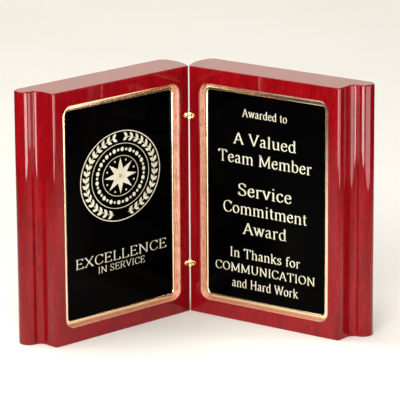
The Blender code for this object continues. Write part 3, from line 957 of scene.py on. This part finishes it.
def build_floor():
    bm = bmesh.new()
    corners = ((-1, -1), (1, -1), (1, 1), (-1, 1))
    bm.faces.new([bm.verts.new((x * FLOOR_REACH, y * FLOOR_REACH, 0)) for x, y in corners])
    mesh = bpy.data.meshes.new("floor")
    bm.to_mesh(mesh)
    bm.free()
    floor = new_object("floor", mesh)
    material, tree, shader = material_tree("floor paper")
    cloud = noise(tree, (1.0, 1.0, 1.0), 2.5, 2.0)
    tone = ramp(tree, cloud, [(0.30, (0.86, 0.845, 0.80)), (0.70, (0.90, 0.885, 0.845))])
    tree.links.new(tone, shader.inputs["Base Color"])
    shader.inputs["Roughness"].default_value = 0.9
    shader.inputs["Specular IOR Level"].default_value = 0.1
    mesh.materials.append(material)


def build_world():
    """Faint room light, brighter behind the object than towards the viewer."""
    world = bpy.data.worlds.new("studio")
    bpy.context.scene.world = world
    world.use_nodes = True
    tree = world.node_tree
    background = tree.nodes["Background"]
    direction = node(tree, "ShaderNodeTexCoord")
    axes = node(tree, "ShaderNodeSeparateXYZ", {"Vector": direction.outputs["Generated"]})
    depth = spread(tree, axes.outputs["Y"], 0.0, 1.0, -1.0, 1.0)
    tone = ramp(tree, depth, [(0.0, (0.10, 0.10, 0.11)), (0.50, (0.20, 0.20, 0.20)),
                              (1.0, (1.0, 0.98, 0.95))])
    tree.links.new(tone, background.inputs["Color"])
    background.inputs["Strength"].default_value = 0.12


def area_light(name, azimuth, elevation, distance, size, power, colour=(1.0, 0.985, 0.955)):
    """A square soft light aimed at the object. Azimuth 0 is in front and 90 on the right."""
    turn, rise = math.radians(azimuth), math.radians(elevation)
    away = Vector((math.sin(turn) * math.cos(rise), -math.cos(turn) * math.cos(rise), math.sin(rise)))
    return put_light(name, LIGHT_TARGET + away * distance, away, (size, size), power, colour)


def put_light(name, centre, away, size, power, colour):
    """A soft rectangular light at centre, shining back along the direction away."""
    light = bpy.data.lights.new(name, "AREA")
    light.shape = "RECTANGLE"
    light.size, light.size_y = size
    light.energy = power
    light.color = colour
    obj = bpy.data.objects.new(name, light)
    bpy.context.scene.collection.objects.link(obj)
    obj.location = centre
    obj.rotation_mode = "QUATERNION"
    obj.rotation_quaternion = away.to_track_quat("Z", "Y")
    obj.visible_camera = False
    return obj


def gloss_card(name, azimuth, distance, width, low, high, radiance, colour=(1.0, 0.97, 0.94)):
    """A bright card that shows only in the polish, upright from low to high and facing the object."""
    turn = math.radians(azimuth)
    away = Vector((math.sin(turn), -math.cos(turn), 0.0))
    centre = away * distance + Vector((0.0, 0.0, (low + high) / 2))
    power = radiance * math.pi * width * (high - low)
    card = put_light(name, centre, away, (width, high - low), power, colour)
    card.visible_diffuse = False


def build_dark_surround():
    """A ring of painted shade over the floor, darker with distance, which shows only in the polish as a
    painted reflection of unlit floor.
    """
    bm = bmesh.new()
    rings = []
    for radius in SURROUND_RADII:
        circle = ellipse((0, 0), (radius, radius), 5)
        rings.append([bm.verts.new((x, y, SURROUND_LIFT)) for x, y in circle])
    inner, outer = rings
    for i in range(len(inner)):
        j = (i + 1) % len(inner)
        bm.faces.new((inner[i], outer[i], outer[j], inner[j]))
    mesh = bpy.data.meshes.new("dark_surround")
    bm.to_mesh(mesh)
    bm.free()
    surround = new_object("dark_surround", mesh)
    material, tree, shader = material_tree("dark surround")
    coordinates = node(tree, "ShaderNodeTexCoord")
    reach = node(tree, "ShaderNodeVectorMath", {0: coordinates.outputs["Object"]}, operation="LENGTH")
    cover = spread(tree, reach.outputs["Value"], 0.0, 1.0, *SURROUND_FADE)
    # near-black painted shade, seen only in reflections
    shader.inputs["Base Color"].default_value = (0.01, 0.009, 0.008, 1.0)
    shader.inputs["Roughness"].default_value = 0.9
    shader.inputs["Specular IOR Level"].default_value = 0.0
    tree.links.new(cover, shader.inputs["Alpha"])
    mesh.materials.append(material)
    surround.visible_camera = False
    surround.visible_diffuse = False
    surround.visible_transmission = False
    surround.visible_shadow = False


def build_camera():
    yaw, pitch, roll = (math.radians(a) for a in (CAMERA_YAW, CAMERA_PITCH, CAMERA_ROLL))
    ahead = Vector((math.sin(yaw) * math.cos(pitch), math.cos(yaw) * math.cos(pitch), -math.sin(pitch)))
    level = Vector((math.cos(yaw), -math.sin(yaw), 0))
    up = level.cross(ahead)
    right = level * math.cos(roll) + up * math.sin(roll)
    top = up * math.cos(roll) - level * math.sin(roll)
    camera = bpy.data.cameras.new("camera")
    camera.lens = CAMERA_LENS
    camera.sensor_width = CAMERA_FILM
    camera.clip_end = 100.0
    obj = bpy.data.objects.new("camera", camera)
    bpy.context.scene.collection.objects.link(obj)
    turn = Matrix((right, top, -ahead)).transposed().to_4x4()
    obj.matrix_world = Matrix.Translation(CAMERA_PLACE) @ turn
    bpy.context.scene.camera = obj


build_floor()
build_world()
build_dark_surround()
area_light("back", 180, 22, 2.0, 1.5, 8.0, (1.0, 0.93, 0.80))
area_light("back_right", 135, 22, 2.0, 1.5, 4.0)
area_light("front", -10, 28, 2.0, 1.2, 48.0)
area_light("left", -55, 28, 2.0, 1.2, 12.0)
right_light = area_light("right", 80, 18, 2.5, 0.8, 24.0)
right_light.visible_glossy = False
area_light("overhead", -115, 66, 2.1, 1.2, 28.0)
gloss_card("front_card", -4, 0.60, 0.28, 0.001, 0.10, 16.0)
gloss_card("front_right_card", 45, 0.60, 0.50, 0.001, 0.10, 7.0)
gloss_card("right_card", 84, 1.5, 1.0, 0.12, 1.0, 1.5)
build_camera()
bpy.context.scene.view_settings.view_transform = "Standard"
